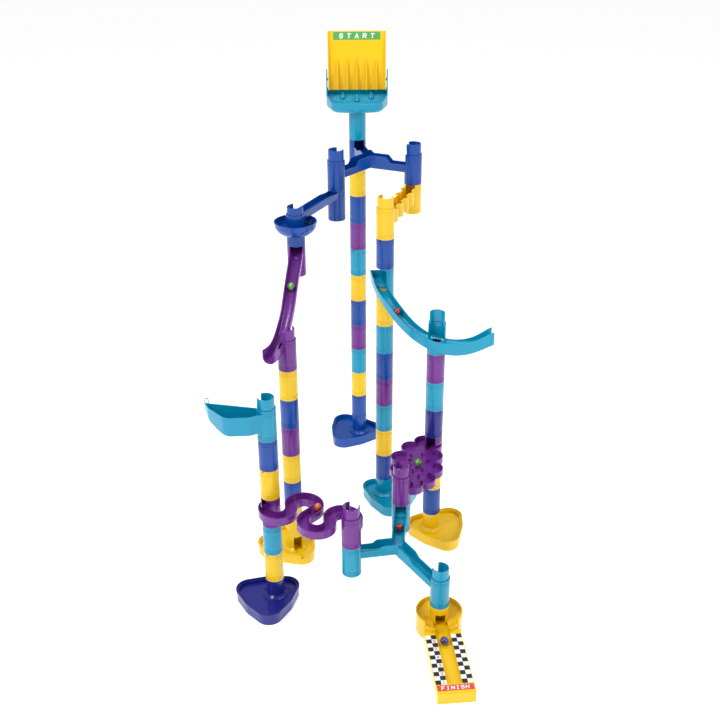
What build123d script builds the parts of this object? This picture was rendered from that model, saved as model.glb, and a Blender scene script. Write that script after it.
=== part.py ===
from build123d import *
from math import atan2, cos, degrees, hypot, radians, sin
import os

os.makedirs("parts", exist_ok=True)

# ------------------------------------------------------------------ driving dimensions, mm
PITCH = 63.5              # height that one tube adds to a tower
SPACING = 166.0           # plan distance between the tubes of every two-tube piece
STEM_TOP = 57.0           # height of a base's shoulder, where the first tube sits
TUBE_R = 18.25            # outer radius of a tube
SOCKET_R = 16.4           # bore of a tube, and the socket for the spigot below it
SPIGOT_R = 16.05         # outer radius of the spigot on top of a tube
SPIGOT_BORE = 14.1
SPIGOT_H = 22.0
SHOULDER_T = 3.0
RING_DEPTH = 0.55         # moulded rings near the ends of a tube
RING_H = 1.2
RINGS_AT = (4.0, 9.0)      # lower edges of the rings, from the end of the tube
MARBLE_R = 8.0
MARBLE_GAP = 0.3          # room under a marble, so that it moves freely
TRACK_W = 25.5            # outside width of a channel
WALL = 2.0
FLOOR = 2.2
SLOT_W = 20.0             # opening in a tube where a channel meets it
OPEN_ABOVE = 30.0         # how far a channel's cut reaches above its walls

# where the model's origin lies, from the axis of the middle tower
ORIGIN_X = -9.96
ORIGIN_Y = -421.10

# bearing of each two-tube piece, degrees from +X
MIDDLE_TO_LEFT = -105.4
LEFT_TO_BOWL = -118.1
BOWL_TO_JUMP = -94.9
RIGHT_TO_SECOND = -111.8
SECOND_TO_THIRD = -53.6
THIRD_TO_MERGE = -115.6
MERGE_TO_CURL = -125.7
CURL_TO_FIFTH = 156.2


def step(start, bearing, distance=SPACING):
    """The plan point at a distance and bearing from another."""
    return (start[0] + distance * cos(radians(bearing)), start[1] + distance * sin(radians(bearing)))


def bearing_of(start, end):
    return degrees(atan2(end[1] - start[1], end[0] - start[0]))


def between(start, end, share):
    return tuple(a + (b - a) * share for a, b in zip(start, end))


def level(number):
    """Height of the joint between two tubes, counted from the first tube's foot."""
    return STEM_TOP + PITCH * number


# towers and hanging tubes, in plan
MIDDLE = (-ORIGIN_X, -ORIGIN_Y)
LEFT = step(MIDDLE, MIDDLE_TO_LEFT)
RIGHT = step(MIDDLE, MIDDLE_TO_LEFT + 60)
BOWL = step(LEFT, LEFT_TO_BOWL)
FOURTH = step(BOWL, BOWL_TO_JUMP)
SECOND = step(RIGHT, RIGHT_TO_SECOND)
THIRD = step(SECOND, SECOND_TO_THIRD)
MERGE = step(THIRD, THIRD_TO_MERGE)
CURL = step(MERGE, MERGE_TO_CURL)
EXIT = step(MERGE, MERGE_TO_CURL + 60)
FIFTH = step(CURL, CURL_TO_FIFTH)


# ------------------------------------------------------------------ shared shapes
def upright(spot):
    """Drawing plane through a tower's axis: across is +X and up is +Z."""
    return Plane(origin=(spot[0], spot[1], 0), x_dir=(1, 0, 0), z_dir=(0, -1, 0))


def turned(spot, outline):
    """Solid of revolution about a tower's axis, from (radius, height) points."""
    with BuildPart() as body:
        with BuildSketch(upright(spot)):
            with BuildLine():
                Polyline(*outline, close=True)
            make_face()
        revolve(axis=Axis((spot[0], spot[1], 0), (0, 0, 1)))
    return body.part


def tube_wall(spot, foot, spigot_h=SPIGOT_H, height=PITCH):
    """Outer shape of a tube: body with moulded rings, shoulder and spigot."""
    top = foot + height
    rings = []
    for low in [foot + at for at in RINGS_AT] + [top - at - RING_H for at in reversed(RINGS_AT)]:
        rings += [(TUBE_R, low), (TUBE_R - RING_DEPTH, low), (TUBE_R - RING_DEPTH, low + RING_H),
                  (TUBE_R, low + RING_H)]
    return turned(spot, [
        (0, foot), (TUBE_R, foot), *rings, (TUBE_R, top),
        (SPIGOT_R, top), (SPIGOT_R, top + spigot_h - 1), (SPIGOT_R - 1, top + spigot_h),
        (0, top + spigot_h),
    ])


def tube_bore(spot, foot, spigot_h=SPIGOT_H, height=PITCH):
    """Inside of a tube: the socket, then the narrower bore of the spigot."""
    top = foot + height
    return turned(spot, [
        (0, foot - 1), (SOCKET_R, foot - 1), (SOCKET_R, top - SHOULDER_T - 3),
        (SPIGOT_BORE, top - SHOULDER_T), (SPIGOT_BORE, top + spigot_h + 1),
        (0, top + spigot_h + 1),
    ])


def track_plane(spot, heading, height):
    """Plane across a channel: +X to its left, +Y up, +Z along it."""
    along = (cos(radians(heading)), sin(radians(heading)), 0)
    left = (-sin(radians(heading)), cos(radians(heading)), 0)
    return Plane(origin=(spot[0], spot[1], height), x_dir=left, z_dir=along)


def track_block(stations, width=TRACK_W, ruled=True, corner=3.0):
    """Outside of a channel. A station is (plan point, heading, underside, wall height)."""
    with BuildPart() as block:
        for spot, heading, underside, wall_h in stations:
            with BuildSketch(track_plane(spot, heading, underside)) as section:
                Rectangle(width, wall_h, align=(Align.CENTER, Align.MIN))
                if corner:
                    fillet(section.vertices().group_by(Axis.Y)[0], radius=corner)
        loft(ruled=ruled)
    return block.part


def track_cut(stations, width=TRACK_W, ruled=True, corner=5.0):
    """Inside of a channel: open above, with a rounded floor."""
    inner = width - 2 * WALL
    with BuildPart() as cut:
        for spot, heading, underside, wall_h in stations:
            depth = wall_h + OPEN_ABOVE
            with BuildSketch(track_plane(spot, heading, underside + FLOOR)):
                with BuildLine():
                    Line((inner / 2, corner), (inner / 2, depth))
                    Line((inner / 2, depth), (-inner / 2, depth))
                    Line((-inner / 2, depth), (-inner / 2, corner))
                    RadiusArc((-inner / 2, corner), (-inner / 2 + corner, 0), -corner)
                    Line((-inner / 2 + corner, 0), (inner / 2 - corner, 0))
                    RadiusArc((inner / 2 - corner, 0), (inner / 2, corner), -corner)
                make_face()
        loft(ruled=ruled)
    return cut.part


def straight_track(start, end, low_start, low_end, steps):
    """Stations of a straight channel. steps is (share of the length, wall height) pairs."""
    heading = bearing_of(start, end)
    return [(between(start, end, share), heading, low_start + (low_end - low_start) * share, wall_h)
            for share, wall_h in steps]


def tube_slot(spot, heading, low, high, width=SLOT_W):
    """Cut through one side of a tube, from its axis outwards."""
    with BuildPart() as slot:
        with BuildSketch(Plane(origin=(spot[0], spot[1], low), x_dir=track_plane(spot, heading, 0).z_dir)):
            Rectangle(TUBE_R + 2, width, align=(Align.MIN, Align.CENTER))
        extrude(amount=high - low)
    return slot.part


def chute(spot, heading, low, rise=7.0):
    """Sloping floor that turns a marble out of a tube into its channel."""
    side = Plane(origin=(spot[0], spot[1], 0), x_dir=track_plane(spot, heading, 0).z_dir,
                 z_dir=track_plane(spot, heading, 0).x_dir * -1)
    reach = SOCKET_R + 0.6
    with BuildPart() as floor:
        with BuildSketch(side):
            with BuildLine():
                Polyline((-reach, low), (reach, low), (reach, low + FLOOR), (-reach, low + FLOOR + rise),
                         close=True)
            make_face()
        extrude(amount=reach, both=True)
        with BuildSketch(Plane.XY.offset(low - 1)):
            with Locations(spot):
                Circle(reach)
        extrude(amount=rise + FLOOR + 2, mode=Mode.INTERSECT)
    return floor.part


def save(body, name):
    body.part.label = name
    export_step(body.part, f"parts/{name}.step")


# ------------------------------------------------------------------ plain tubes of the towers
TOWERS = {
    "middle_tower": (MIDDLE, {0: "blue yellow cyan purple blue yellow cyan purple blue yellow"}),
    "second_tower": (SECOND, {0: "blue yellow cyan purple blue cyan yellow", 8: "blue"}),
    "third_tower": (THIRD, {0: "blue yellow", 3: "indigo cyan purple"}),
    "fourth_tower": (FOURTH, {0: "yellow blue yellow purple blue yellow"}),
    "fifth_tower": (FIFTH, {0: "yellow cyan", 3: "yellow blue"}),
}
KEY_W = 2.6               # small keyway under the top edge of a tube
KEY_H = 4.5
KEY_TURNS = (-125, 70, 150, 20, 100, 45)

plain_wall = tube_wall((0, 0), 0)
plain_bore = tube_bore((0, 0), 0)
with BuildPart() as plain_tube:
    add(plain_wall)
    add(plain_bore, mode=Mode.SUBTRACT)
    with BuildSketch(Plane.XY.offset(PITCH - KEY_H)):
        with Locations((SPIGOT_R, 0)):
            Rectangle(2 * (TUBE_R - SPIGOT_R), KEY_W)
    extrude(amount=KEY_H, mode=Mode.SUBTRACT)

for tower, (spot, runs) in TOWERS.items():
    for first, colours in runs.items():
        for count, colour in enumerate(colours.split()):
            turn = KEY_TURNS[count % len(KEY_TURNS)]
            with BuildPart() as tube:
                with Locations(Location((*spot, level(first + count)), (0, 0, turn))):
                    add(plain_tube.part)
            save(tube, f"{tower}_tube_{first + count + 1:02d}_{colour}")

# ------------------------------------------------------------------ base trays
TRAY_CORNER_R = 28.0
TRAY_REACH = 40.0         # from the tray's middle to the centre of each round corner
TRAY_BULGE_R = 52.0       # bows the three sides out a little
TRAY_SHIFT = 17.0         # from the stem to the tray's middle
TRAY_H = 24.0
TRAY_FOOT_IN = 1.5        # the foot stands in from the rim by this much
TRAY_RIM_H = 6.0
TRAY_LIP_W = 2.4
TRAY_LIP_H = 2.5
TRAY_BASIN_IN = 5.6
TRAY_BASIN_Z = 15.0
TRAY_SKIN = 2.4
BOSS_R = 25.0             # low cone round the stem, standing on the tray's floor
STEM_R = 17.2
COLLAR_H = 8.0
WINDOW_W = 18.5           # a marble leaves the finish hub through this opening in its stem
WINDOW_H = 34.0
WINDOW_TOWER = "fourth_tower"      # this base's stem has a side opening too
WINDOW_BEARING = -60
BASES = {
    "middle_tower": (MIDDLE, 178, "blue"),
    "second_tower": (SECOND, -31, "cyan"),
    "third_tower": (THIRD, -9, "yellow"),
    "fourth_tower": (FOURTH, 130, "yellow"),
    "fifth_tower": (FIFTH, -143, "indigo"),
}


def tray_face(spot, bearing, inset):
    """Rounded triangle with bowed sides, drawn smaller by an inset."""
    middle = step(spot, bearing, TRAY_SHIFT)
    with BuildSketch() as face:
        with Locations(*[step(middle, bearing + turn, TRAY_REACH) for turn in (60, 180, 300)]):
            Circle(TRAY_CORNER_R - inset)
        with Locations(middle):
            Circle(TRAY_BULGE_R - inset)
        make_hull()
    return face.sketch


def tray_slab(spot, bearing, inset, low, high):
    with BuildPart() as slab:
        with BuildSketch(Plane.XY.offset(low)):
            add(tray_face(spot, bearing, inset))
        extrude(amount=high - low)
    return slab.part


for tower, (spot, bearing, colour) in BASES.items():
    stem = turned(spot, [
        (0, 0), (STEM_R, 0), (STEM_R, TRAY_BASIN_Z - TRAY_SKIN), (BOSS_R, TRAY_BASIN_Z - TRAY_SKIN),
        (BOSS_R, TRAY_BASIN_Z + 2),
        (BOSS_R - 4, TRAY_BASIN_Z + 4), (STEM_R, TRAY_BASIN_Z + 7), (STEM_R, STEM_TOP - COLLAR_H - 1),
        (TUBE_R, STEM_TOP - COLLAR_H), (TUBE_R, STEM_TOP), (SPIGOT_R, STEM_TOP),
        (SPIGOT_R, STEM_TOP + SPIGOT_H - 1), (SPIGOT_R - 1, STEM_TOP + SPIGOT_H), (0, STEM_TOP + SPIGOT_H),
    ])
    slabs = [tray_slab(spot, bearing, TRAY_FOOT_IN, 0, TRAY_H - TRAY_RIM_H),
             tray_slab(spot, bearing, 0, TRAY_H - TRAY_RIM_H, TRAY_H)]
    hollows = [tray_slab(spot, bearing, TRAY_LIP_W, TRAY_H - TRAY_LIP_H, TRAY_H + 1),
               tray_slab(spot, bearing, TRAY_BASIN_IN, TRAY_BASIN_Z, TRAY_H + 1),
               tray_slab(spot, bearing, TRAY_FOOT_IN + WALL, -1, TRAY_BASIN_Z - TRAY_SKIN)]
    with BuildPart() as tray:
        add(slabs)
        add(hollows, mode=Mode.SUBTRACT)
        add(stem)
        with Locations((spot[0], spot[1], TRAY_BASIN_Z)):
            Cylinder(SPIGOT_BORE, STEM_TOP + SPIGOT_H, align=(Align.CENTER, Align.CENTER, Align.MIN),
                     mode=Mode.SUBTRACT)
        if tower == WINDOW_TOWER:
            with Locations(Location((*spot, TRAY_BASIN_Z), (0, 0, WINDOW_BEARING))):
                Box(2 * BOSS_R, WINDOW_W, WINDOW_H, align=(Align.MIN, Align.CENTER, Align.MIN),
                    mode=Mode.SUBTRACT)
    save(tray, f"{tower}_base_{colour}")

# ------------------------------------------------------------------ blue splitter at the top
SPLIT_MIDDLE = step(MIDDLE, MIDDLE_TO_LEFT + 30, SPACING / 3 ** 0.5)
SPLIT_START = level(10) + 31
SPLIT_JOIN = level(10) + 29
SPLIT_END = level(10) + 24
LOW_WALL = 16.0
HIGH_WALL = 27.0
ARM_STEPS = [(0.0, HIGH_WALL), (0.42, HIGH_WALL), (0.52, LOW_WALL), (1.0, LOW_WALL)]
STEM_STEPS = [(0.0, LOW_WALL + 4), (0.5, LOW_WALL + 4), (0.7, HIGH_WALL), (1.0, HIGH_WALL)]

split_stem = straight_track(MIDDLE, SPLIT_MIDDLE, SPLIT_START, SPLIT_JOIN, STEM_STEPS)
split_arms = [straight_track(SPLIT_MIDDLE, end, SPLIT_JOIN, SPLIT_END, ARM_STEPS) for end in (LEFT, RIGHT)]
split_feet = [(MIDDLE, level(10)), (LEFT, level(10)), (RIGHT, level(10))]


def junction(spot, low, wall_h):
    """Round block where three channels meet, and the cut inside it."""
    solids = []
    discs = ((TRACK_W / 2, low, wall_h), (TRACK_W / 2 - WALL, low + FLOOR, wall_h + OPEN_ABOVE))
    for radius, foot, height in discs:
        with BuildPart() as disc:
            with BuildSketch(Plane.XY.offset(foot)):
                with Locations(spot):
                    Circle(radius)
            extrude(amount=height)
        solids.append(disc.part)
    return solids


split_hub, split_hub_cut = junction(SPLIT_MIDDLE, SPLIT_JOIN, HIGH_WALL)
with BuildPart() as blue_splitter:
    for spot, foot in split_feet:
        add(tube_wall(spot, foot))
    for stations in [split_stem] + split_arms:
        add(track_block(stations))
    add(split_hub)
    for spot, foot in split_feet:
        add(tube_bore(spot, foot), mode=Mode.SUBTRACT)
    for stations in [split_stem] + split_arms:
        add(track_cut(stations), mode=Mode.SUBTRACT)
    add(split_hub_cut, mode=Mode.SUBTRACT)
    add(tube_slot(MIDDLE, bearing_of(MIDDLE, SPLIT_MIDDLE), SPLIT_START + FLOOR, level(11) + SPIGOT_H + 1),
        mode=Mode.SUBTRACT)
    for spot in (LEFT, RIGHT):
        add(tube_slot(spot, bearing_of(spot, SPLIT_MIDDLE), SPLIT_END + FLOOR, level(11) + SPIGOT_H + 1),
            mode=Mode.SUBTRACT)
    add(chute(MIDDLE, bearing_of(MIDDLE, SPLIT_MIDDLE), SPLIT_START))
save(blue_splitter, "top_splitter")

# ------------------------------------------------------------------ cyan merging channel at the foot
MERGE_MIDDLE = step(MERGE, MERGE_TO_CURL + 30, SPACING / 3 ** 0.5)
MERGE_START = level(1) + 36
MERGE_JOIN = level(1) + 17
MERGE_END = level(0) + 31
INLET_STEPS = [(0.0, LOW_WALL), (0.5, LOW_WALL), (0.6, HIGH_WALL - 4), (1.0, HIGH_WALL - 4)]
OUTLET_STEPS = [(0.0, HIGH_WALL - 4), (0.34, HIGH_WALL - 4), (0.44, LOW_WALL), (1.0, LOW_WALL)]

merge_inlets = [straight_track(start, MERGE_MIDDLE, MERGE_START, MERGE_JOIN, INLET_STEPS)
                for start in (MERGE, CURL)]
merge_outlet = straight_track(MERGE_MIDDLE, EXIT, MERGE_JOIN, MERGE_END, OUTLET_STEPS)
merge_feet = [(MERGE, level(1)), (CURL, level(1)), (EXIT, level(0))]
merge_hub, merge_hub_cut = junction(MERGE_MIDDLE, MERGE_JOIN, HIGH_WALL - 4)
with BuildPart() as merge_channel:
    for spot, foot in merge_feet:
        add(tube_wall(spot, foot))
    for stations in merge_inlets + [merge_outlet]:
        add(track_block(stations))
    add(merge_hub)
    for spot, foot in merge_feet:
        add(tube_bore(spot, foot), mode=Mode.SUBTRACT)
    for stations in merge_inlets + [merge_outlet]:
        add(track_cut(stations), mode=Mode.SUBTRACT)
    add(merge_hub_cut, mode=Mode.SUBTRACT)
    for spot, low, top in ((MERGE, MERGE_START, level(2)), (CURL, MERGE_START, level(2)),
                           (EXIT, MERGE_END, level(1))):
        add(tube_slot(spot, bearing_of(spot, MERGE_MIDDLE), low + FLOOR, top + SPIGOT_H + 1),
            mode=Mode.SUBTRACT)
    for spot in (MERGE, CURL):
        add(chute(spot, bearing_of(spot, MERGE_MIDDLE), MERGE_START))
save(merge_channel, "merge_channel")

# ------------------------------------------------------------------ blue slide with its catch bowl
BOWL_R = 42.5
BOWL_RIM = level(9) + 48
BOWL_BOTTOM = level(9) + 22
SLIDE_START = level(9) + 50
SLIDE_END = level(9) + 46
slide_steps = [(0.0, LOW_WALL - 3.2), (0.15, LOW_WALL - 3.2), (0.3, LOW_WALL), (1.0, LOW_WALL)]
slide = straight_track(LEFT, BOWL, SLIDE_START, SLIDE_END, slide_steps)
bowl_outside = turned(BOWL, [
    (0, BOWL_BOTTOM), (TUBE_R + 3, BOWL_BOTTOM), (TUBE_R + 13, BOWL_BOTTOM + 3),
    (BOWL_R - 5, BOWL_BOTTOM + 9), (BOWL_R - 1.5, BOWL_BOTTOM + 16), (BOWL_R, BOWL_RIM), (0, BOWL_RIM),
])
bowl_inside = turned(BOWL, [
    (TUBE_R, BOWL_BOTTOM + 3.2), (TUBE_R + 12, BOWL_BOTTOM + 5.6), (BOWL_R - 7, BOWL_BOTTOM + 11),
    (BOWL_R - 3.7, BOWL_BOTTOM + 17), (BOWL_R - 2.2, BOWL_RIM + 1), (TUBE_R, BOWL_RIM + 1),
])
with BuildPart() as bowl_slide:
    add(bowl_outside)
    add(bowl_inside, mode=Mode.SUBTRACT)
    add(tube_wall(LEFT, level(9)))
    add(tube_wall(BOWL, level(9), spigot_h=15))
    add(track_block(slide))
    add(tube_bore(LEFT, level(9)), mode=Mode.SUBTRACT)
    add(tube_bore(BOWL, level(9), spigot_h=15), mode=Mode.SUBTRACT)
    add(track_cut(slide), mode=Mode.SUBTRACT)
    add(tube_slot(LEFT, bearing_of(LEFT, BOWL), SLIDE_START + FLOOR, level(10)), mode=Mode.SUBTRACT)
    add(tube_slot(BOWL, bearing_of(BOWL, LEFT), SLIDE_END + FLOOR, level(10) + 20), mode=Mode.SUBTRACT)
    add(chute(LEFT, bearing_of(LEFT, BOWL), SLIDE_START))
save(bowl_slide, "bowl_slide")

# ------------------------------------------------------------------ yellow slide with waved walls
BUMP_START = level(9) + 31
BUMP_END = level(9) + 26
BUMP_WALL = 28.0
BUMPS = 8
BUMP_R = 8.6
BUMP_OUT = 6.4            # how far a bump's centre lies from the middle of the channel
BUMP_TRACK_W = 21.0
bumpy = straight_track(RIGHT, SECOND, BUMP_START, BUMP_END, [(0.0, BUMP_WALL), (1.0, BUMP_WALL)])
heading = bearing_of(RIGHT, SECOND)


def bump(count, radius, low, high):
    """One round pocket of the waved walls; low and high are measured from the channel's underside."""
    share = 0.16 + 0.68 * count / (BUMPS - 1)
    spot = step(between(RIGHT, SECOND, share), heading + (90 if count % 2 else -90), BUMP_OUT)
    foot = BUMP_START + (BUMP_END - BUMP_START) * share
    with BuildPart() as pocket:
        with Locations((*spot, foot + low)):
            Cylinder(radius, high - low, align=(Align.CENTER, Align.CENTER, Align.MIN))
    return pocket.part


bumps = [bump(count, BUMP_R + WALL, 0, BUMP_WALL) for count in range(BUMPS)]
bump_cuts = [bump(count, BUMP_R, FLOOR, BUMP_WALL + OPEN_ABOVE) for count in range(BUMPS)]
with BuildPart() as wave_slide:
    add(tube_wall(RIGHT, level(9)))
    add(tube_wall(SECOND, level(9)))
    add(track_block(bumpy, width=BUMP_TRACK_W))
    add(bumps)
    add(tube_bore(RIGHT, level(9)), mode=Mode.SUBTRACT)
    add(tube_bore(SECOND, level(9)), mode=Mode.SUBTRACT)
    add(track_cut(bumpy, width=BUMP_TRACK_W), mode=Mode.SUBTRACT)
    add(bump_cuts, mode=Mode.SUBTRACT)
    add(tube_slot(RIGHT, heading, BUMP_START + FLOOR, level(10)), mode=Mode.SUBTRACT)
    add(tube_slot(SECOND, heading + 180, BUMP_END + FLOOR, level(10) + SPIGOT_H + 1), mode=Mode.SUBTRACT)
    add(chute(RIGHT, heading, BUMP_START))
save(wave_slide, "wave_slide")

# ------------------------------------------------------------------ cyan curved slide
CURVE_R = 202.0
CURVE_AT_THIRD = -116.0
THIRD_INSIDE = 6.0        # the catch tube stands this far inside the middle of the channel
CURVE_CENTRE = step(THIRD, CURVE_AT_THIRD + 180, CURVE_R - THIRD_INSIDE)
CURVE_END_WALL = 0.6      # degrees of arc left closed behind the start
# bearing from the arc's centre, underside, top of the walls, floor
CURVE = [(-178, 526, 543, 528.5), (-165, 518.5, 536, 520.7), (-150, 499, 517, 501.2), (-135, 472, 491, 475),
         (-122, 452, 473, 464), (-112, 444, 468, 462.6), (-100, 446, 471, 464), (-90, 459, 486, 471),
         (-84, 469, 497, 479)]
CATCH_FLOOR = 462.4
CATCH_HOLE_R = 9.5


def curve_station(row, low, high, turn=0.0):
    return (step(CURVE_CENTRE, row[0] + turn, CURVE_R), row[0] + 90, low, high - low)


curve_outward = bearing_of(CURVE_CENTRE, SECOND)
curve_block = track_block([curve_station(row, row[1], row[2]) for row in CURVE], ruled=False)
curve_cut = track_cut([curve_station(row, row[3] - FLOOR, row[2], CURVE_END_WALL * (row is CURVE[0]))
                       for row in CURVE], ruled=False)
curve_hollow = track_block([curve_station(row, row[1] - 1, row[3] - FLOOR) for row in CURVE[3:]],
                           width=TRACK_W - 2 * WALL, ruled=False, corner=0)
with BuildPart() as catch_shell:
    add(tube_wall(THIRD, level(6)))
    add(tube_bore(THIRD, level(6)), mode=Mode.SUBTRACT)
    add(tube_slot(THIRD, CURVE_AT_THIRD, CATCH_FLOOR, level(7) + SPIGOT_H + 1, width=2 * TUBE_R + 2),
        mode=Mode.SUBTRACT)
    with BuildSketch(Plane.XY.offset(CATCH_FLOOR - FLOOR + 0.5)):
        with Locations(THIRD):
            Circle(SOCKET_R + 0.5)
    extrude(amount=FLOOR - 0.5)
with BuildPart() as catch_room:
    with BuildSketch(Plane.XY.offset(level(6) - 30)):
        with Locations(THIRD):
            Circle(TUBE_R)
    extrude(amount=CATCH_FLOOR - level(6) + 30 - 0.4)
with BuildPart() as catch_hole:
    with BuildSketch(Plane.XY.offset(CATCH_FLOOR - FLOOR)):
        with Locations(THIRD):
            Circle(CATCH_HOLE_R)
    extrude(amount=2 * FLOOR)
with BuildPart() as curved_slide:
    add(tube_wall(SECOND, level(7)))
    add(curve_block)
    add(curve_hollow, mode=Mode.SUBTRACT)
    add(tube_bore(SECOND, level(7)), mode=Mode.SUBTRACT)
    add(curve_cut, mode=Mode.SUBTRACT)
    add(catch_room.part, mode=Mode.SUBTRACT)
    add(catch_shell.part)
    add(catch_hole.part, mode=Mode.SUBTRACT)
    add(tube_slot(SECOND, curve_outward, level(7) + SPIGOT_H + 2.6, level(8) + SPIGOT_H + 1),
        mode=Mode.SUBTRACT)
    add(chute(SECOND, curve_outward, level(7) + SPIGOT_H + 0.5, rise=5))
save(curved_slide, "curved_slide")

# ------------------------------------------------------------------ purple slide with its jump
JUMP = [(0, 0, 604, 21), (23, 3, 603.5, 21), (50, 2, 582, 21), (90, -1, 547, 21), (125, -5, 512, 21),
        (145, -9, 493, 21), (167, -13.5, 478, 22), (192, -19.5, 470, 25), (214, -27, 470, 27)]
JUMP_W = 26.5
JUMP_CORNER = 10.0


def piece_frame(start, end):
    """Turns (along, left) into plan points, measured from one tube towards another."""
    heading = bearing_of(start, end)
    return lambda along, left: step(step(start, heading, along), heading + 90, left)


jump_point = piece_frame(BOWL, FOURTH)
jump_points = [jump_point(along, left) for along, left, _, _ in JUMP]
jump_headings = [bearing_of(jump_points[max(0, i - 1)], jump_points[min(len(JUMP) - 1, i + 1)])
                 for i in range(len(JUMP))]
jump = [(spot, heading, low, wall_h)
        for spot, heading, (_, _, low, wall_h) in zip(jump_points, jump_headings, JUMP)]
with BuildPart() as jump_slide:
    add(tube_wall(BOWL, level(8)))
    add(tube_wall(FOURTH, level(6)))
    add(track_block(jump, width=JUMP_W, ruled=False, corner=JUMP_CORNER + 2))
    add(tube_bore(BOWL, level(8)), mode=Mode.SUBTRACT)
    add(tube_bore(FOURTH, level(6)), mode=Mode.SUBTRACT)
    add(track_cut(jump, width=JUMP_W, ruled=False, corner=JUMP_CORNER), mode=Mode.SUBTRACT)
    add(tube_slot(BOWL, bearing_of(BOWL, FOURTH), 615, level(9) + SPIGOT_H + 1), mode=Mode.SUBTRACT)
    add(tube_slot(FOURTH, bearing_of(FOURTH, BOWL), 482, level(7) + SPIGOT_H + 1), mode=Mode.SUBTRACT)
    add(chute(BOWL, bearing_of(BOWL, FOURTH), 604))
save(jump_slide, "jump_slide")

# ------------------------------------------------------------------ cyan catcher
CATCH_LOW = level(5) + 21
CATCH_TOP = level(5) + 58
CATCH_HEADING = 166.3
CATCH_LENGTH = 118.0
catch_plane = Plane(origin=(FIFTH[0], FIFTH[1], CATCH_LOW), x_dir=track_plane(FIFTH, CATCH_HEADING, 0).z_dir)
LOOP_R = 7.0
LEAF = [(0, TUBE_R - 1), (20, 34), (62, 47), (104, 18), (CATCH_LENGTH, 0), (0, -4)]
CATCH_SLOT_W = 17.5
catch_side = Plane(origin=(FIFTH[0], FIFTH[1], 0), x_dir=catch_plane.x_dir, z_dir=catch_plane.y_dir * -1)


def leaf_body(inset, low):
    """The cup's leaf-shaped column, cut off below by its curved underside."""
    with BuildPart() as body:
        with BuildSketch(catch_plane):
            with BuildLine():
                leaf = FilletPolyline(*LEAF[:-1], radius=24)
                Line(leaf @ 1, LEAF[-1])
                Line(LEAF[-1], leaf @ 0)
            make_face()
            if inset:
                offset(amount=-inset, kind=Kind.INTERSECTION)
        extrude(amount=CATCH_TOP - CATCH_LOW)
        with BuildSketch(catch_side):
            with BuildLine():
                Polyline((-9, low), (58, low), (84, low + 4), (102, low + 12), (CATCH_LENGTH + 2, low + 27),
                         (CATCH_LENGTH + 2, CATCH_TOP + 1), (-9, CATCH_TOP + 1), close=True)
            make_face()
        extrude(amount=60, both=True, mode=Mode.INTERSECT)
    return body.part


leaf_wall = leaf_body(0, CATCH_LOW)
leaf_room = leaf_body(WALL, CATCH_LOW + FLOOR)
tip = step(FIFTH, CATCH_HEADING, CATCH_LENGTH - 5)
with BuildPart() as catcher:
    add(leaf_wall)
    add(leaf_room, mode=Mode.SUBTRACT)
    add(tube_wall(FIFTH, level(5)))
    add(tube_bore(FIFTH, level(5)), mode=Mode.SUBTRACT)
    add(tube_slot(FIFTH, CATCH_HEADING - 8, CATCH_LOW + FLOOR, level(6) + SPIGOT_H + 1, width=CATCH_SLOT_W),
        mode=Mode.SUBTRACT)
    with BuildSketch(Plane(origin=(*tip, CATCH_TOP + LOOP_R - 3), x_dir=(1, 0, 0), z_dir=(0, -1, 0))):
        Ellipse(4.2, LOOP_R)
        Ellipse(2.8, LOOP_R - 1.6, mode=Mode.SUBTRACT)
    extrude(amount=0.9, both=True)
save(catcher, "catcher")

# ------------------------------------------------------------------ purple double-S channel
CURL_R = 25.0             # middle of the channel, in each of the four loops
CURL_W = 24.0
CURL_WALL = 15.5
CURL_START = level(2) + 39
CURL_DROP = 11.0
CURL_IN = 147.0 + 90      # heading out of the first tube, from the line between the two tubes
# centre of each loop along and beside the line between the tubes, first and last bearing
LOOPS = [((23, -15), 147.0, 399.4), ((62, 17), 219.4, -16.8), ((104, -17), 163.2, 399.4),
         ((143, 15), 219.4, -33.0)]
curl_point = piece_frame(FIFTH, CURL)
curl_turn = bearing_of(FIFTH, CURL)


def sloping_plane(spot, heading, height, slope):
    """Drawing plane that falls along a heading: +X runs down the slope."""
    across, down = cos(radians(heading)), sin(radians(heading))
    return Plane(origin=(spot[0], spot[1], height), x_dir=(across, down, slope),
                 z_dir=(-slope * across, -slope * down, 1))


def loop_face(plane, width):
    """The channel's outline: four arcs and the straight between the middle two."""
    with BuildSketch(plane) as face:
        for (along, left), first, last in LOOPS:
            with BuildLine():
                CenterArc((along, left), CURL_R, first, last - first)
            trace(line_width=width)
        with BuildLine():
            Line(step(LOOPS[1][0], LOOPS[1][2], CURL_R), step(LOOPS[2][0], LOOPS[2][1], CURL_R))
        trace(line_width=width)
    return face.sketch


curl_plane = sloping_plane(FIFTH, curl_turn, CURL_START, -CURL_DROP / SPACING)
curl_out = bearing_of(CURL, curl_point(LOOPS[3][0][0] + CURL_R, LOOPS[3][0][1]))
with BuildPart() as curl_channel:
    add(loop_face(curl_plane, CURL_W))
    extrude(amount=CURL_WALL)
    add(tube_wall(FIFTH, level(2)))
    add(tube_wall(CURL, level(2)))
    add(tube_bore(FIFTH, level(2)), mode=Mode.SUBTRACT)
    add(tube_bore(CURL, level(2)), mode=Mode.SUBTRACT)
    add(loop_face(curl_plane.offset(FLOOR), CURL_W - 2 * WALL))
    extrude(amount=CURL_WALL + 2, mode=Mode.SUBTRACT)
    add(tube_slot(FIFTH, CURL_IN + curl_turn, CURL_START + FLOOR, level(3) + 6), mode=Mode.SUBTRACT)
    add(tube_slot(CURL, curl_out, CURL_START - CURL_DROP + FLOOR, level(3) + SPIGOT_H + 1),
        mode=Mode.SUBTRACT)
    add(chute(FIFTH, CURL_IN + curl_turn, CURL_START - FLOOR, rise=5))
save(curl_channel, "curl_channel")

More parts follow.
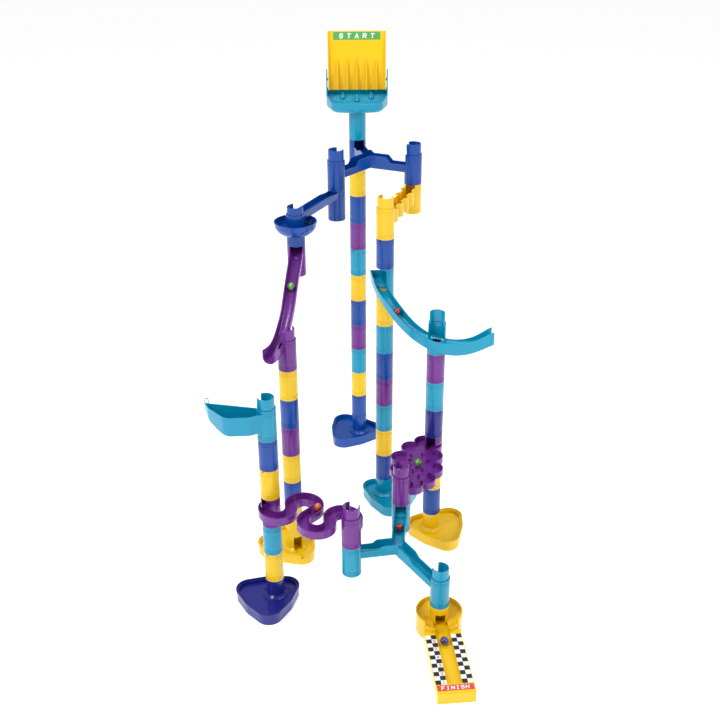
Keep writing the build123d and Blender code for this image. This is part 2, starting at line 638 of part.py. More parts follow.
# ------------------------------------------------------------------ purple peg plate
PLATE_START = level(2) + 30
PLATE_DROP = 6.0
PLATE_WALL = 14.0
LOBE_R = 20.5
# round lobes of the rim, along and beside the line between the two tubes
LOBES = [(6, 0), (2, -20), (33, -36), (73, -41), (112, -26), (150, -3), (148, 18), (122, 33), (84, 33),
         (44, 17)]
PEGS = [(40, -8), (56, 10), (52, -28), (68, -24), (66, 28), (88, 12), (84, -17), (100, -4), (100, 30),
        (96, -32), (112, 14), (114, -18), (128, 2), (130, 28), (142, 12)]
PEG_R = 2.6
PEG_H = 11.0
plate_heading = bearing_of(THIRD, MERGE)
plate_plane = sloping_plane(THIRD, plate_heading, PLATE_START, -PLATE_DROP / SPACING)
with BuildPart() as peg_plate:
    with BuildSketch(plate_plane):
        with Locations(*LOBES):
            Circle(LOBE_R)
        Polygon(*LOBES, align=None)
    extrude(amount=PLATE_WALL)
    with BuildSketch(plate_plane.offset(FLOOR)):
        with Locations(*LOBES):
            Circle(LOBE_R - WALL)
        Polygon(*LOBES, align=None)
    extrude(amount=PLATE_WALL + OPEN_ABOVE, mode=Mode.SUBTRACT)
    with BuildSketch(plate_plane.offset(FLOOR / 2)):
        with Locations(*PEGS):
            Circle(PEG_R)
    extrude(amount=PEG_H)
    add(tube_wall(THIRD, level(2)))
    add(tube_wall(MERGE, level(2)))
    add(tube_bore(THIRD, level(2)), mode=Mode.SUBTRACT)
    add(tube_bore(MERGE, level(2)), mode=Mode.SUBTRACT)
    add(tube_slot(THIRD, plate_heading, PLATE_START + FLOOR, level(3) + SPIGOT_H + 1), mode=Mode.SUBTRACT)
    add(tube_slot(MERGE, plate_heading + 180, PLATE_START - PLATE_DROP + FLOOR, level(3) + SPIGOT_H + 1),
        mode=Mode.SUBTRACT)
    add(chute(THIRD, plate_heading, PLATE_START - FLOOR, rise=5))
save(peg_plate, "peg_plate")

# ------------------------------------------------------------------ finish ramp
HUB_R = 44.5
HUB_H = 41.0
RAMP_W = 69.5
RAMP_H = 22.0
RAMP_LENGTH = 197.0       # from the hub's axis to the front face
RAMP_HEADING = -84.6
GROOVE_W = 27.0
GROOVE_START = 15.0       # height of the groove's floor at the hub and at its end
GROOVE_END = 8.0
GROOVE_LENGTH = 172.0
HUB_FLOOR = 3.0
HUB_CONE_TOP = 31.0       # the hub's inside falls from here to the groove
ramp_along = track_plane(EXIT, RAMP_HEADING, 0).z_dir
ramp_plane = Plane(origin=(EXIT[0], EXIT[1], 0), x_dir=ramp_along)
ramp_side = Plane(origin=(EXIT[0], EXIT[1], 0), x_dir=ramp_along,
                  z_dir=track_plane(EXIT, RAMP_HEADING, 0).x_dir * -1)
hub_stem = turned(EXIT, [
    (SPIGOT_BORE, HUB_FLOOR), (STEM_R, HUB_FLOOR), (STEM_R, STEM_TOP - COLLAR_H - 1),
    (TUBE_R, STEM_TOP - COLLAR_H), (TUBE_R, STEM_TOP), (SPIGOT_R, STEM_TOP),
    (SPIGOT_R, STEM_TOP + SPIGOT_H - 1), (SPIGOT_R - 1, STEM_TOP + SPIGOT_H),
    (SPIGOT_BORE, STEM_TOP + SPIGOT_H),
])
hub_cone = turned(EXIT, [
    (SPIGOT_BORE, HUB_FLOOR), (HUB_R - 1, HUB_FLOOR), (HUB_R - 1, HUB_CONE_TOP), (HUB_R - 3, HUB_CONE_TOP),
    (STEM_R + 2, GROOVE_START + 1), (SPIGOT_BORE, GROOVE_START + 1),
])
with BuildPart() as groove:
    with BuildSketch(ramp_side):
        with BuildLine():
            Polyline((0, GROOVE_START), (GROOVE_LENGTH, GROOVE_END), (GROOVE_LENGTH, 80), (0, 80), close=True)
        make_face()
    extrude(amount=GROOVE_W / 2, both=True)
with BuildPart() as finish_ramp:
    with BuildSketch(ramp_plane):
        Circle(HUB_R)
    extrude(amount=HUB_H)
    with BuildSketch(ramp_plane.offset(HUB_FLOOR)):
        Circle(HUB_R - 2.4)
    extrude(amount=HUB_H, mode=Mode.SUBTRACT)
    with BuildSketch(ramp_plane):
        with Locations((RAMP_LENGTH / 2 + 17, 0)):
            RectangleRounded(RAMP_LENGTH - 34, RAMP_W, 2.5)
    extrude(amount=RAMP_H)
    with BuildSketch(ramp_plane):
        with Locations((HUB_R / 2 + 8, 0)):
            Rectangle(HUB_R + 14, RAMP_W - 8)
    extrude(amount=RAMP_H)
    with BuildSketch(ramp_plane.offset(RAMP_H)):
        with Locations((HUB_R + 10, 0)):
            Rectangle(60, RAMP_W - 6)
    extrude(amount=HUB_H, mode=Mode.SUBTRACT)
    add(hub_cone)
    add(groove.part, mode=Mode.SUBTRACT)
    with BuildSketch(ramp_plane.offset(-1)):
        with Locations((RAMP_LENGTH / 2 + 34, 27)):
            Rectangle(RAMP_LENGTH - 74, 11)
        with Locations((RAMP_LENGTH / 2 + 34, -27)):
            Rectangle(RAMP_LENGTH - 74, 11)
    extrude(amount=RAMP_H - 1.5, mode=Mode.SUBTRACT)
    add(hub_stem)
    with BuildSketch(ramp_plane.offset(GROOVE_START)):
        with Locations((STEM_R, 0)):
            Rectangle(2 * STEM_R, WINDOW_W)
    extrude(amount=WINDOW_H - 8, mode=Mode.SUBTRACT)
save(finish_ramp, "finish_ramp")

LABEL_T = 0.4
STRIP_W = 19.6
STRIP_FROM = 47.0
STRIP_TO = 173.0
LABEL_FROM = 174.5
LABEL_TO = 189.0
for side, name in ((1, "checker_label_right"), (-1, "checker_label_left")):
    with BuildPart() as strip:
        with BuildSketch(ramp_plane.offset(RAMP_H)):
            with Locations(((STRIP_FROM + STRIP_TO) / 2, side * (GROOVE_W + STRIP_W + 0.8) / 2)):
                Rectangle(STRIP_TO - STRIP_FROM, STRIP_W)
        extrude(amount=LABEL_T)
    save(strip, name)

with BuildPart() as finish_label:
    with BuildSketch(ramp_plane.offset(RAMP_H)):
        with Locations(((LABEL_FROM + LABEL_TO) / 2, 0)):
            Rectangle(LABEL_TO - LABEL_FROM, GROOVE_W + 2 * STRIP_W)
    extrude(amount=LABEL_T)
save(finish_label, "finish_label")

# ------------------------------------------------------------------ start funnel
NECK_FOOT = level(11)
FUNNEL_LOW = NECK_FOOT + 63.5
FUNNEL_BACK = 38.0
FUNNEL_FRONT = -45.0
BACK_HALF = 66.0
FRONT_HALF = 52.0
RIM_FRONT = FUNNEL_LOW + 20
RIM_BACK = FUNNEL_LOW + 39
EAR_TOP = FUNNEL_LOW + 80
EAR_Y = 22.0
EAR_T = 2.4
PIVOT_Z = FUNNEL_LOW + 60
PIN_R = 3.0
PIN_FIT = 0.06
BOARD_HALF = 62.0
funnel_plane = Plane(origin=(MIDDLE[0], MIDDLE[1], FUNNEL_LOW))
funnel_side = Plane(origin=(MIDDLE[0], MIDDLE[1], 0), x_dir=(0, 1, 0), z_dir=(1, 0, 0))
funnel_outline = [(-BACK_HALF, FUNNEL_BACK), (-BACK_HALF, 8), (-FRONT_HALF, -34), (0, FUNNEL_FRONT),
                  (FRONT_HALF, -34), (BACK_HALF, 8), (BACK_HALF, FUNNEL_BACK)]


def funnel_face(shrink):
    with BuildSketch(Plane.XY) as face:
        with BuildLine():
            Polyline(*funnel_outline, close=True)
        make_face()
        fillet(face.vertices().group_by(Axis.Y)[1], radius=24)
        fillet(face.vertices().group_by(Axis.Y)[-2], radius=36)
        fillet(face.vertices().group_by(Axis.Y)[0], radius=90)
        if shrink:
            offset(amount=-shrink)
    return face.sketch


with BuildPart() as funnel_space:
    with BuildSketch(funnel_side):
        with BuildLine():
            Polyline((FUNNEL_BACK, FUNNEL_LOW + 27), (-12, FUNNEL_LOW + 6), (FUNNEL_FRONT, FUNNEL_LOW + 6),
                     (FUNNEL_FRONT, FUNNEL_LOW + 90), (FUNNEL_BACK, FUNNEL_LOW + 90), close=True)
        make_face()
    extrude(amount=BACK_HALF, both=True)
    with BuildSketch(funnel_plane):
        add(funnel_face(2.2))
    extrude(amount=100, mode=Mode.INTERSECT)
PEG_SPOTS = [(-30.5, 22, 12.5), (0, 13, 14), (30.5, 22, 12.5)]
with BuildPart() as start_funnel:
    with BuildSketch(funnel_plane):
        add(funnel_face(0))
    extrude(amount=RIM_BACK - FUNNEL_LOW)
    fillet(start_funnel.faces().sort_by(Axis.Z)[0].edges(), radius=10)
    with BuildSketch(funnel_side):
        with BuildLine():
            Polyline((FUNNEL_FRONT - 1, RIM_FRONT), (-15, RIM_FRONT + 2), (FUNNEL_BACK + 1, RIM_BACK),
                     (FUNNEL_BACK + 1, RIM_BACK + 9), (FUNNEL_FRONT - 1, RIM_BACK + 9), close=True)
        make_face()
    extrude(amount=BACK_HALF + 1, both=True, mode=Mode.SUBTRACT)
    add(funnel_space.part, mode=Mode.SUBTRACT)
    with BuildSketch(Plane.XY.offset(NECK_FOOT)):
        with Locations(MIDDLE):
            Circle(TUBE_R)
    extrude(amount=FUNNEL_LOW + 3 - NECK_FOOT)
    for x, y, height in PEG_SPOTS:
        with Locations((MIDDLE[0] + x, MIDDLE[1] + y, FUNNEL_LOW + 6 + (y + 12) * 0.42)):
            Cone(6.5, 1.2, height, align=(Align.CENTER, Align.CENTER, Align.MIN))
    for side in (-1, 1):
        with BuildSketch(funnel_side.offset(side * (BACK_HALF - EAR_T / 2))):
            with BuildLine():
                Polyline((EAR_Y - 16, RIM_BACK - 12), (EAR_Y + 14, RIM_BACK - 12), (EAR_Y + 8, EAR_TOP - 5),
                         (EAR_Y + 4, EAR_TOP), (EAR_Y - 4, EAR_TOP), (EAR_Y - 8, EAR_TOP - 5), close=True)
            make_face()
        extrude(amount=EAR_T / 2, both=True)
    with BuildSketch(funnel_side):
        with Locations((EAR_Y, PIVOT_Z)):
            Circle(PIN_R + PIN_FIT)
    extrude(amount=BACK_HALF + 5, both=True, mode=Mode.SUBTRACT)
    with BuildSketch(Plane.XY.offset(NECK_FOOT)):
        with Locations(MIDDLE):
            Circle(SOCKET_R)
    extrude(amount=SPIGOT_H + 4, mode=Mode.SUBTRACT)
    with BuildSketch(Plane.XY.offset(NECK_FOOT)):
        with Locations(MIDDLE):
            Circle(SPIGOT_BORE)
    extrude(amount=FUNNEL_LOW + 8 - NECK_FOOT, mode=Mode.SUBTRACT)
save(start_funnel, "start_funnel")

# ------------------------------------------------------------------ start board, which tips back
BOARD_LOW = FUNNEL_LOW + 38
BOARD_TOP = FUNNEL_LOW + 159
BOARD_T = 2.4
BOARD_LEAN = 8.0
RIB_H = 11.0
LANES = 6
board_plane = Plane(origin=(MIDDLE[0], MIDDLE[1] + EAR_Y, PIVOT_Z), x_dir=(1, 0, 0),
                    z_dir=(0, -cos(radians(BOARD_LEAN)), sin(radians(BOARD_LEAN))))
board_foot = BOARD_LOW - PIVOT_Z
board_head = BOARD_TOP - PIVOT_Z
lane_w = 2 * BOARD_HALF / LANES
with BuildPart() as start_board:
    with BuildSketch(board_plane):
        with Locations((0, (board_foot + board_head) / 2)):
            RectangleRounded(2 * BOARD_HALF, board_head - board_foot, 2)
    extrude(amount=-BOARD_T)
    for lane in range(LANES + 1):
        edge = lane in (0, LANES)
        shift = -BOARD_HALF + lane_w * lane + (1 if lane == 0 else -1 if lane == LANES else 0)
        rib_plane = Plane(origin=board_plane.from_local_coords((shift, 0, 0)), x_dir=board_plane.y_dir,
                          z_dir=board_plane.x_dir)
        rib_top = board_head if edge else board_foot + 66
        with BuildSketch(rib_plane):
            with BuildLine():
                Polyline((board_foot, -0.2), (board_foot, RIB_H), (board_foot + 18, RIB_H),
                         (board_foot + 50, RIB_H * 0.55), (rib_top, 3 if edge else 0.6), (rib_top, -0.2),
                         close=True)
            make_face()
        extrude(amount=1.0 if edge else 0.8, both=True)
    for side in (-1, 1):
        with BuildSketch(Plane.YZ.offset(MIDDLE[0] + side * (BOARD_HALF - 1))):
            with Locations((MIDDLE[1] + EAR_Y, PIVOT_Z)):
                Circle(PIN_R)
        extrude(amount=side * (BACK_HALF - BOARD_HALF + 1))
save(start_board, "start_board")

SIGN_W = 101.0
SIGN_H = 17.0
with BuildPart() as start_label:
    with BuildSketch(board_plane):
        with Locations((0, board_head - SIGN_H / 2 - 1.5)):
            Rectangle(SIGN_W, SIGN_H)
    extrude(amount=LABEL_T)
save(start_label, "start_label")


# ------------------------------------------------------------------ marbles
def marble(name, spot, height):
    with BuildPart() as ball:
        with Locations((spot[0], spot[1], height)):
            Sphere(MARBLE_R)
    save(ball, name)


RIDE = FLOOR + MARBLE_R + MARBLE_GAP
marble("marble_green_slide", jump_point(79, -0.5), 557 + RIDE + 4)
marble("marble_red_curve", step(CURVE_CENTRE, -143.5, CURVE_R), 487.5 + RIDE + 1.5)
marble("marble_green_pegs", step(step(THIRD, plate_heading, 76), plate_heading + 90, -2),
       PLATE_START - PLATE_DROP * 76 / SPACING + RIDE)
marble("marble_orange_curl", curl_point(62 + CURL_R * cos(radians(20)), 17 + CURL_R * sin(radians(20))),
       CURL_START - CURL_DROP * 84 / SPACING + RIDE + 0.2)
marble("marble_red_merge", between(MERGE, MERGE_MIDDLE, 0.5), (MERGE_START + MERGE_JOIN) / 2 + RIDE + 0.5)
marble("marble_blue_finish", step(EXIT, RAMP_HEADING, 62), GROOVE_START - 2.5 + MARBLE_R + MARBLE_GAP)
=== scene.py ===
import math

import bmesh
import bpy
from mathutils import Matrix, Vector


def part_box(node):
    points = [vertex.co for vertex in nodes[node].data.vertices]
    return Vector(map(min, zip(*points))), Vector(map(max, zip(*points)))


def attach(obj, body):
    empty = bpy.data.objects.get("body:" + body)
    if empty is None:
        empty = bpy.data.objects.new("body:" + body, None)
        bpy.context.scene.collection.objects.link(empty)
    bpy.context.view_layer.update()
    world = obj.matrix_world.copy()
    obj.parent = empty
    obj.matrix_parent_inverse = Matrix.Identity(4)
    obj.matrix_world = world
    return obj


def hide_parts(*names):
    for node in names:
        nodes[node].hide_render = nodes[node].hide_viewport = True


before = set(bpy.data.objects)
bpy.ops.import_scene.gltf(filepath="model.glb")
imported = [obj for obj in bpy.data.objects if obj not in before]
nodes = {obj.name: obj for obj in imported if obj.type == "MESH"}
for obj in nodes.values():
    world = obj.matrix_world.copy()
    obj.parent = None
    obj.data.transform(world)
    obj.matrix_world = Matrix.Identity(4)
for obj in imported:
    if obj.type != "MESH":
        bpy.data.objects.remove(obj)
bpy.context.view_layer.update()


# ------------------------------------------------------------------ small helpers
def colour(r, g, b):
    """sRGB 0 to 255 to linear."""
    def line(c):
        c = c / 255
        return c / 12.92 if c <= 0.04045 else ((c + 0.055) / 1.055) ** 2.4
    return (line(r), line(g), line(b), 1.0)


def tree_of(name):
    mat = bpy.data.materials.new(name)
    mat.use_nodes = True
    mat.node_tree.nodes.clear()
    return mat, mat.node_tree


def add_node(tree, kind, **values):
    node = tree.nodes.new(kind)
    for key, value in values.items():
        if hasattr(node, key):
            setattr(node, key, value)
        else:
            node.inputs[key.replace("_", " ")].default_value = value
    return node


def centre_of(name):
    low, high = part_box(name)
    return (low + high) / 2


# ------------------------------------------------------------------ materials
def plastic(name, base, shade, glow, roughness=0.22):
    """Glossy moulded plastic: faint flow marks, a little fine texture, softer colour in thick places."""
    mat, tree = tree_of(name)
    link = tree.links.new
    coords = add_node(tree, "ShaderNodeTexCoord")
    out = add_node(tree, "ShaderNodeOutputMaterial")
    bsdf = add_node(tree, "ShaderNodeBsdfPrincipled")
    bsdf.inputs["IOR"].default_value = 1.5
    bsdf.inputs["Specular IOR Level"].default_value = 0.3
    bsdf.inputs["Coat Weight"].default_value = 0.3
    bsdf.inputs["Coat Roughness"].default_value = 0.06
    bsdf.inputs["Subsurface Weight"].default_value = glow
    bsdf.inputs["Subsurface Radius"].default_value = (0.004, 0.003, 0.002)
    bsdf.inputs["Subsurface Scale"].default_value = 1.0

    flow = add_node(tree, "ShaderNodeTexNoise")
    flow.inputs["Scale"].default_value = 9.0
    flow.inputs["Detail"].default_value = 3.0
    stretch = add_node(tree, "ShaderNodeMapping")
    stretch.inputs["Scale"].default_value = (1.0, 1.0, 0.35)
    link(coords.outputs["Object"], stretch.inputs["Vector"])
    link(stretch.outputs["Vector"], flow.inputs["Vector"])
    mix = add_node(tree, "ShaderNodeMix", data_type="RGBA")
    mix.inputs["A"].default_value = base
    mix.inputs["B"].default_value = shade
    ramp = add_node(tree, "ShaderNodeMapRange")
    ramp.inputs["From Min"].default_value = 0.35
    ramp.inputs["From Max"].default_value = 0.75
    ramp.inputs["To Max"].default_value = 0.55
    link(flow.outputs["Fac"], ramp.inputs["Value"])
    link(ramp.outputs["Result"], mix.inputs["Factor"])
    link(mix.outputs["Result"], bsdf.inputs["Base Color"])

    fine = add_node(tree, "ShaderNodeTexNoise")
    fine.inputs["Scale"].default_value = 420.0
    fine.inputs["Detail"].default_value = 2.0
    link(coords.outputs["Object"], fine.inputs["Vector"])
    rough = add_node(tree, "ShaderNodeMapRange")
    rough.inputs["To Min"].default_value = roughness - 0.04
    rough.inputs["To Max"].default_value = roughness + 0.06
    link(fine.outputs["Fac"], rough.inputs["Value"])
    link(rough.outputs["Result"], bsdf.inputs["Roughness"])
    bump = add_node(tree, "ShaderNodeBump")
    bump.inputs["Strength"].default_value = 0.05
    bump.inputs["Distance"].default_value = 0.0002
    link(fine.outputs["Fac"], bump.inputs["Height"])
    link(bump.outputs["Normal"], bsdf.inputs["Normal"])
    link(bsdf.outputs["BSDF"], out.inputs["Surface"])
    return mat


PLASTICS = {
    "yellow": plastic("yellow_plastic", colour(236, 196, 18), colour(228, 178, 10), 0.1),
    "cyan": plastic("cyan_plastic", colour(0, 150, 184), colour(0, 132, 168), 0.04),
    "blue": plastic("blue_plastic", colour(0, 70, 158), colour(0, 56, 138), 0.0),
    "purple": plastic("purple_plastic", colour(112, 42, 140), colour(92, 28, 118), 0.04),
    "indigo": plastic("indigo_plastic", colour(34, 38, 132), colour(26, 28, 108), 0.0),
}
FIXED = {
    "top_splitter": "blue", "merge_channel": "cyan", "bowl_slide": "blue", "wave_slide": "yellow",
    "curved_slide": "cyan", "jump_slide": "purple", "catcher": "cyan", "curl_channel": "purple",
    "peg_plate": "purple", "finish_ramp": "yellow", "start_funnel": "cyan", "start_board": "yellow",
}


def printed(name, base):
    """Printed vinyl: flat ink with a very fine grain and a soft sheen."""
    mat, tree = tree_of(name)
    link = tree.links.new
    out = add_node(tree, "ShaderNodeOutputMaterial")
    bsdf = add_node(tree, "ShaderNodeBsdfPrincipled")
    bsdf.inputs["Roughness"].default_value = 0.38
    coords = add_node(tree, "ShaderNodeTexCoord")
    grain = add_node(tree, "ShaderNodeTexNoise")
    grain.inputs["Scale"].default_value = 900.0
    link(coords.outputs["Object"], grain.inputs["Vector"])
    mix = add_node(tree, "ShaderNodeMix", data_type="RGBA")
    mix.inputs["A"].default_value = base
    mix.inputs["B"].default_value = tuple(c * 0.86 for c in base[:3]) + (1.0,)
    link(grain.outputs["Fac"], mix.inputs["Factor"])
    link(mix.outputs["Result"], bsdf.inputs["Base Color"])
    link(bsdf.outputs["BSDF"], out.inputs["Surface"])
    return mat


INKS = {
    "white": printed("ink_white", colour(246, 246, 242)),
    "black": printed("ink_black", colour(22, 20, 22)),
    "red": printed("ink_red", colour(222, 62, 58)),
    "green": printed("ink_green", colour(84, 168, 84)),
}


def marble_glass(name, tint, streak):
    """Coloured glass with a darker swirl through it."""
    mat, tree = tree_of(name)
    link = tree.links.new
    out = add_node(tree, "ShaderNodeOutputMaterial")
    bsdf = add_node(tree, "ShaderNodeBsdfPrincipled")
    bsdf.inputs["Roughness"].default_value = 0.03
    bsdf.inputs["IOR"].default_value = 1.5
    bsdf.inputs["Transmission Weight"].default_value = 0.35
    bsdf.inputs["Coat Weight"].default_value = 1.0
    coords = add_node(tree, "ShaderNodeTexCoord")
    swirl = add_node(tree, "ShaderNodeTexWave")
    swirl.inputs["Scale"].default_value = 32.0
    swirl.inputs["Distortion"].default_value = 6.0
    swirl.inputs["Detail"].default_value = 2.0
    link(coords.outputs["Object"], swirl.inputs["Vector"])
    mix = add_node(tree, "ShaderNodeMix", data_type="RGBA")
    mix.inputs["A"].default_value = tint
    mix.inputs["B"].default_value = streak
    link(swirl.outputs["Fac"], mix.inputs["Factor"])
    link(mix.outputs["Result"], bsdf.inputs["Base Color"])
    link(bsdf.outputs["BSDF"], out.inputs["Surface"])
    return mat


MARBLES = {
    "green": marble_glass("glass_green", colour(120, 190, 60), colour(60, 140, 50)),
    "red": marble_glass("glass_red", colour(200, 30, 30), colour(120, 14, 20)),
    "orange": marble_glass("glass_orange", colour(240, 130, 50), colour(210, 80, 30)),
    "blue": marble_glass("glass_blue", colour(60, 70, 190), colour(30, 30, 120)),
}


# ------------------------------------------------------------------ CAD pieces: finish and smooth shading
def dress(obj, mat, angle=32):
    obj.data.materials.clear()
    obj.data.materials.append(mat)
    for poly in obj.data.polygons:
        poly.use_smooth = True
        poly.material_index = 0
    bpy.context.view_layer.objects.active = obj
    obj.select_set(True)
    bpy.ops.object.shade_smooth_by_angle(angle=math.radians(angle))
    obj.select_set(False)


LABELS = ("start_label", "finish_label", "checker_label_left", "checker_label_right")
for name, obj in nodes.items():
    if name.startswith("marble_") or name in LABELS:
        continue
    dress(obj, PLASTICS[FIXED.get(name) or name.split("_")[-1]])


# ------------------------------------------------------------------ mesh pieces
def mesh_object(name, bm, *mats):
    mesh = bpy.data.meshes.new(name)
    bm.to_mesh(mesh)
    bm.free()
    obj = bpy.data.objects.new(name, mesh)
    bpy.context.scene.collection.objects.link(obj)
    for mat in mats:
        obj.data.materials.append(mat)
    return obj


MARBLE_SHRINK = 0.995     # keeps a marble just inside its CAD solid
MARBLE_FLAT = 0.992       # height of the tiny flat on its top, as a share of the radius


def marble(node, mat):
    """A glass marble, rounder than the CAD facets, with a tiny flat on its top."""
    low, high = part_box(node)
    centre = (low + high) / 2
    radius = min(high - low) / 2 * MARBLE_SHRINK
    bm = bmesh.new()
    bmesh.ops.create_icosphere(bm, subdivisions=5, radius=radius)
    for vert in bm.verts:
        vert.co.z = min(vert.co.z, radius * MARBLE_FLAT)
        vert.co += centre
    for face in bm.faces:
        face.smooth = True
    obj = mesh_object(node + "_glass", bm, mat)
    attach(obj, node + "_body")
    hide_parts(node)
    return obj


for name in list(nodes):
    if name.startswith("marble_"):
        tint = name.split("_")[1]
        marble(name, MARBLES[tint])

# ------------------------------------------------------------------ printed labels
# Letters are drawn as strokes on a grid four wide and six tall.
STROKES = {
    "S": [[(4, 5), (3, 6), (1, 6), (0, 5), (0, 4), (1, 3), (3, 3), (4, 2), (4, 1), (3, 0), (1, 0), (0, 1)]],
    "T": [[(0, 6), (4, 6)], [(2, 6), (2, 0)]],
    "A": [[(0, 0), (2, 6), (4, 0)], [(0.8, 2.2), (3.2, 2.2)]],
    "R": [[(0, 0), (0, 6), (3, 6), (4, 5), (4, 4), (3, 3), (0, 3)], [(2, 3), (4, 0)]],
    "F": [[(4, 6), (0, 6), (0, 0)], [(0, 3), (3, 3)]],
    "I": [[(2, 6), (2, 0)], [(1, 6), (3, 6)], [(1, 0), (3, 0)]],
    "N": [[(0, 0), (0, 6), (4, 0), (4, 6)]],
    "H": [[(0, 0), (0, 6)], [(4, 0), (4, 6)], [(0, 3), (4, 3)]],
    "1": [[(1, 5), (2, 6), (2, 0)], [(1, 0), (3, 0)]],
    "2": [[(0, 5), (1, 6), (3, 6), (4, 5), (4, 4), (0, 0), (4, 0)]],
    "3": [[(0, 5), (1, 6), (3, 6), (4, 5), (4, 4), (3, 3), (2, 3)],
          [(3, 3), (4, 2), (4, 1), (3, 0), (1, 0), (0, 1)]],
    "4": [[(3, 0), (3, 6), (0, 2), (4, 2)]],
    "5": [[(4, 6), (0, 6), (0, 3.4), (3, 3.4), (4, 2.6), (4, 1), (3, 0), (0, 0)]],
    "6": [[(4, 5), (3, 6), (1, 6), (0, 5), (0, 1), (1, 0), (3, 0), (4, 1), (4, 2.4), (3, 3.2), (0, 3.2)]],
}


class Sheet:
    """A thin printed film lying on a plane: origin, right, up and outward directions."""

    def __init__(self, name, origin, right, up):
        self.name = name
        self.bm = bmesh.new()
        self.origin = origin
        self.right = right.normalized()
        self.up = up.normalized()
        self.out = self.right.cross(self.up).normalized()

    def point(self, x, y, lift):
        return self.origin + self.right * x + self.up * y + self.out * lift

    def polygon(self, points, index, low, high):
        """A closed slab of ink between two heights over the film's back."""
        bottom = [self.bm.verts.new(self.point(x, y, low)) for x, y in points]
        top = [self.bm.verts.new(self.point(x, y, high)) for x, y in points]
        faces = [self.bm.faces.new(top), self.bm.faces.new(bottom[::-1])]
        count = len(points)
        for i in range(count):
            j = (i + 1) % count
            faces.append(self.bm.faces.new((bottom[i], bottom[j], top[j], top[i])))
        for face in faces:
            face.material_index = index

    def patch(self, x0, y0, x1, y1, index, low, high):
        self.polygon([(x0, y0), (x1, y0), (x1, y1), (x0, y1)], index, low, high)

    def stroke(self, a, b, width, index, low, high):
        """One stroke of a letter, with rounded ends."""
        (ax, ay), (bx, by) = a, b
        turn = math.atan2(by - ay, bx - ax)
        points = []
        for centre, start in (((bx, by), turn - math.pi / 2), ((ax, ay), turn + math.pi / 2)):
            for k in range(5):
                angle = start + math.pi * k / 4
                points.append((centre[0] + width / 2 * math.cos(angle),
                               centre[1] + width / 2 * math.sin(angle)))
        self.polygon(points, index, low, high)

    def letter(self, text, x, y, w, h, width, index, low, high, slant=0.0):
        """One character in the box whose lower left corner is (x, y)."""
        for line in STROKES[text]:
            for (ax, ay), (bx, by) in zip(line, line[1:]):
                a = (x + ax / 4 * w + slant * ay / 6 * h, y + ay / 6 * h)
                b = (x + bx / 4 * w + slant * by / 6 * h, y + by / 6 * h)
                self.stroke(a, b, width, index, low, high)
                high += 1e-6

    def finish(self, *mats):
        return mesh_object(self.name, self.bm, *mats)


def film_frame(node, right_hint):
    """Corner frame of a thin flat CAD node: back corner, right, up, width, height and depth."""
    mesh = nodes[node].data
    best = max(mesh.polygons, key=lambda p: p.area)
    verts = [v.co.copy() for v in mesh.vertices]
    out = best.normal.copy()
    if out.z < 0:
        out = -out
    right = (right_hint - out * right_hint.dot(out)).normalized()
    up = out.cross(right)
    xs = [v.dot(right) for v in verts]
    ys = [v.dot(up) for v in verts]
    zs = [v.dot(out) for v in verts]
    origin = right * min(xs) + up * min(ys) + out * min(zs)
    return origin, right, up, max(xs) - min(xs), max(ys) - min(ys), max(zs) - min(zs)


# Ink depths, as shares of a film's thickness, and the film's bare margin.
BACKING = 0.6
INK_LOW = 0.55
INK_HIGH = 0.85
edge = 0.0004

# start sign
origin, right, up, w, h, t = film_frame("start_label", Vector((1, 0, 0)))
sign = Sheet("start_sign", origin, right, up)
sign.patch(edge, edge, w - edge, h - edge, 0, 0, t * BACKING)
size = 0.0095
gap = w * 0.165
for k, char in enumerate("START"):
    x = w / 2 + (k - 2) * gap - size * 0.36
    sign.letter(char, x, h * 0.25, size * 0.66, h * 0.5, 0.0022, 1, t * INK_LOW, t * INK_HIGH, slant=0.12)
start_sign = sign.finish(INKS["green"], INKS["white"])
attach(start_sign, "start_board")
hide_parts("start_label")

# the ramp's own directions, from its two strips
label_mid = centre_of("finish_label")
strip_mid = (centre_of("checker_label_left") + centre_of("checker_label_right")) / 2
down_ramp = Vector((label_mid.x - strip_mid.x, label_mid.y - strip_mid.y, 0)).normalized()
ramp_right = Vector((-down_ramp.y, down_ramp.x, 0))

origin, right, up, w, h, t = film_frame("finish_label", ramp_right)
band = Sheet("finish_band", origin, right, up)
band.patch(edge, edge, w - edge, h - edge, 0, 0, t * BACKING)
for k, char in enumerate("FINISH"):
    x = w / 2 + (k - 2.5) * w * 0.13 - 0.0036
    band.letter(char, x, h * 0.24, 0.0052, h * 0.52, 0.0017, 1, t * INK_LOW, t * INK_HIGH, slant=0.1)
finish_band = band.finish(INKS["red"], INKS["white"])
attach(finish_band, "towers_and_tracks")
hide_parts("finish_label")

ROWS = 12
for node, numbered in (("checker_label_left", True), ("checker_label_right", False)):
    origin, right, up, w, h, t = film_frame(node, ramp_right)
    strip = Sheet(node + "_print", origin, right, up)
    strip.patch(0, 0, w, h, 0, 0, t * 0.35)
    cell_w, cell_h = w / 2, h / ROWS
    for row in range(ROWS):
        for column in range(2):
            black = (row + column) % 2 == 0
            y0 = row * cell_h
            if black:
                strip.patch(column * cell_w, y0, (column + 1) * cell_w, y0 + cell_h, 1, t * 0.3, t * 0.6)
            elif numbered and column == 1 and row // 2 < 6:
                digit = str(row // 2 + 1)
                strip.letter(digit, cell_w * 1.3, y0 + cell_h * 0.2, cell_w * 0.4, cell_h * 0.6, 0.0013, 2,
                             t * 0.3, t * 0.6)
    made = strip.finish(INKS["white"], INKS["black"], INKS["red"])
    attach(made, "towers_and_tracks")
    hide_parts(node)

# ------------------------------------------------------------------ floor, light and camera
tower = centre_of("middle_tower_tube_05_blue")
axis = Vector((tower.x, tower.y, 0))

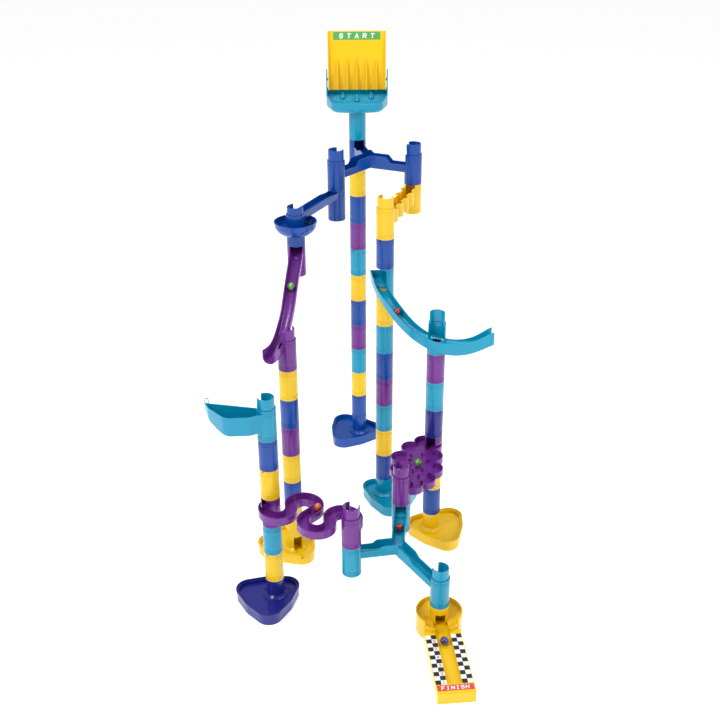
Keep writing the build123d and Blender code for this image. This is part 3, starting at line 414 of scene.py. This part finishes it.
mat, tree = tree_of("studio_floor")
out = add_node(tree, "ShaderNodeOutputMaterial")
bsdf = add_node(tree, "ShaderNodeBsdfPrincipled")
bsdf.inputs["Roughness"].default_value = 0.75
bsdf.inputs["Emission Color"].default_value = (1.0, 1.0, 1.0, 1)
bsdf.inputs["Emission Strength"].default_value = 0.5
coords = add_node(tree, "ShaderNodeTexCoord")
noise = add_node(tree, "ShaderNodeTexNoise")
noise.inputs["Scale"].default_value = 3.0
mix = add_node(tree, "ShaderNodeMix", data_type="RGBA")
mix.inputs["A"].default_value = (0.93, 0.93, 0.93, 1)
mix.inputs["B"].default_value = (0.90, 0.90, 0.905, 1)
tree.links.new(coords.outputs["Object"], noise.inputs["Vector"])
tree.links.new(noise.outputs["Fac"], mix.inputs["Factor"])
tree.links.new(mix.outputs["Result"], bsdf.inputs["Base Color"])
tree.links.new(bsdf.outputs["BSDF"], out.inputs["Surface"])
bm = bmesh.new()
bmesh.ops.create_grid(bm, x_segments=8, y_segments=8, size=16.0)
for vert in bm.verts:
    vert.co.z = -0.0005
floor = mesh_object("studio_floor", bm, mat)

world = bpy.data.worlds.new("studio")
bpy.context.scene.world = world
world.use_nodes = True
world.node_tree.nodes["Background"].inputs["Color"].default_value = (1.0, 1.0, 1.0, 1)
world.node_tree.nodes["Background"].inputs["Strength"].default_value = 0.5


def softbox(name, place, aim, size, power, tint=(1, 1, 1)):
    data = bpy.data.lights.new(name, "AREA")
    data.energy = power
    data.shape = "RECTANGLE"
    data.size, data.size_y = size
    data.color = tint
    lamp = bpy.data.objects.new(name, data)
    bpy.context.scene.collection.objects.link(lamp)
    lamp.location = place
    lamp.rotation_euler = (Vector(aim) - Vector(place)).to_track_quat("-Z", "Y").to_euler()
    return lamp


softbox("key_softbox", (-1.6, -1.5, 2.6), (0, 0, 0.4), (0.7, 1.6), 50)
softbox("fill_softbox", (2.0, -1.2, 1.6), (0, 0, 0.4), (0.6, 1.6), 18)
softbox("top_softbox", (0.2, 0.6, 2.8), (0, 0, 0.3), (1.8, 1.2), 29)

# The camera stands in front of the tall tower and looks down at it.
CAMERA_FROM_TOWER = Vector((0.00272, -2.2700, 1.3801))
CAMERA_DOWN = 27.239      # degrees below level
CAMERA_ROLL = -0.356
cam_data = bpy.data.cameras.new("photo_camera")
cam_data.sensor_width = 36.0
cam_data.lens = 52.775
cam_data.clip_end = 50
cam = bpy.data.objects.new("photo_camera", cam_data)
bpy.context.scene.collection.objects.link(cam)
cam.location = axis + CAMERA_FROM_TOWER
cam.rotation_euler = (Matrix.Rotation(math.radians(90 - CAMERA_DOWN), 4, "X")
                      @ Matrix.Rotation(math.radians(CAMERA_ROLL), 4, "Z")).to_euler()
bpy.context.scene.camera = cam

bpy.context.scene.view_settings.view_transform = "Standard"
bpy.context.scene.view_settings.look = "None"
